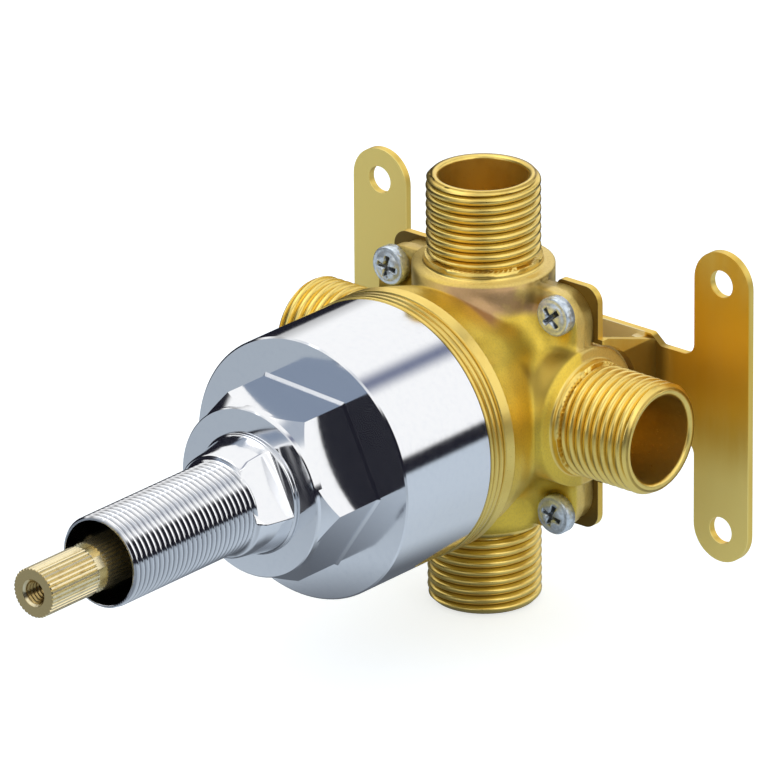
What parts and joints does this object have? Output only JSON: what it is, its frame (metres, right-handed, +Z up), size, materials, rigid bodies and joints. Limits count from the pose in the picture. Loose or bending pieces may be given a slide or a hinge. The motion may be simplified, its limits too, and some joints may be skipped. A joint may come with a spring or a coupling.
{
  "type": "shower diverter valve",
  "caption": "Rough-in shower diverter valve: forged brass cross body with threaded ports, chromed bonnet, splined turning stem and a brass wall bracket.",
  "frame": {"origin": "middle of the four wall screw holes, on the rear face of the wall strap", "axes": "+Y into the wall, -Y along the stem towards the user, +X to the right-hand port, +Z up to the top port"},
  "size_m": [0.093, 0.1431, 0.0826],
  "materials": {
    "forged_brass": "satin forged brass with machined threads",
    "sheet_brass": "rolled brass sheet, satin",
    "stem_brass": "machined brass",
    "chrome_plate": "bright chrome plate",
    "zinc_steel": "bright zinc plate",
    "spring_steel": "plain spring steel",
    "seal_rubber": "black sealing rubber",
    "cartridge_plastic": "white moulded plastic"
  },
  "bodies": {
    "casing": {"valve_body": "forged_brass", "bracket_screws": "zinc_steel", "wall_strap": "sheet_brass", "side_bracket_right": "sheet_brass", "side_bracket_left": "sheet_brass", "bonnet": "chrome_plate", "bonnet_o_ring": "seal_rubber", "threaded_sleeve": "chrome_plate", "sleeve_o_ring": "seal_rubber", "thrust_washer": "cartridge_plastic", "stop_ring": "stem_brass", "cartridge_shell": "cartridge_plastic", "shell_o_ring": "seal_rubber", "cartridge_cap": "cartridge_plastic", "outlet_seals": "seal_rubber"},
    "spindle": {"stem": "stem_brass", "rotor": "stem_brass", "stem_o_rings": "seal_rubber", "stem_circlip": "spring_steel", "boss_o_ring": "seal_rubber"}
  },
  "joints": [
    {"name": "stem_turn", "type": "hinge", "parent": "casing", "child": "spindle", "pos_m": [0, -0.1, 0], "axis": [0, -1, 0], "range_deg": [-90, 90]}
  ]
}
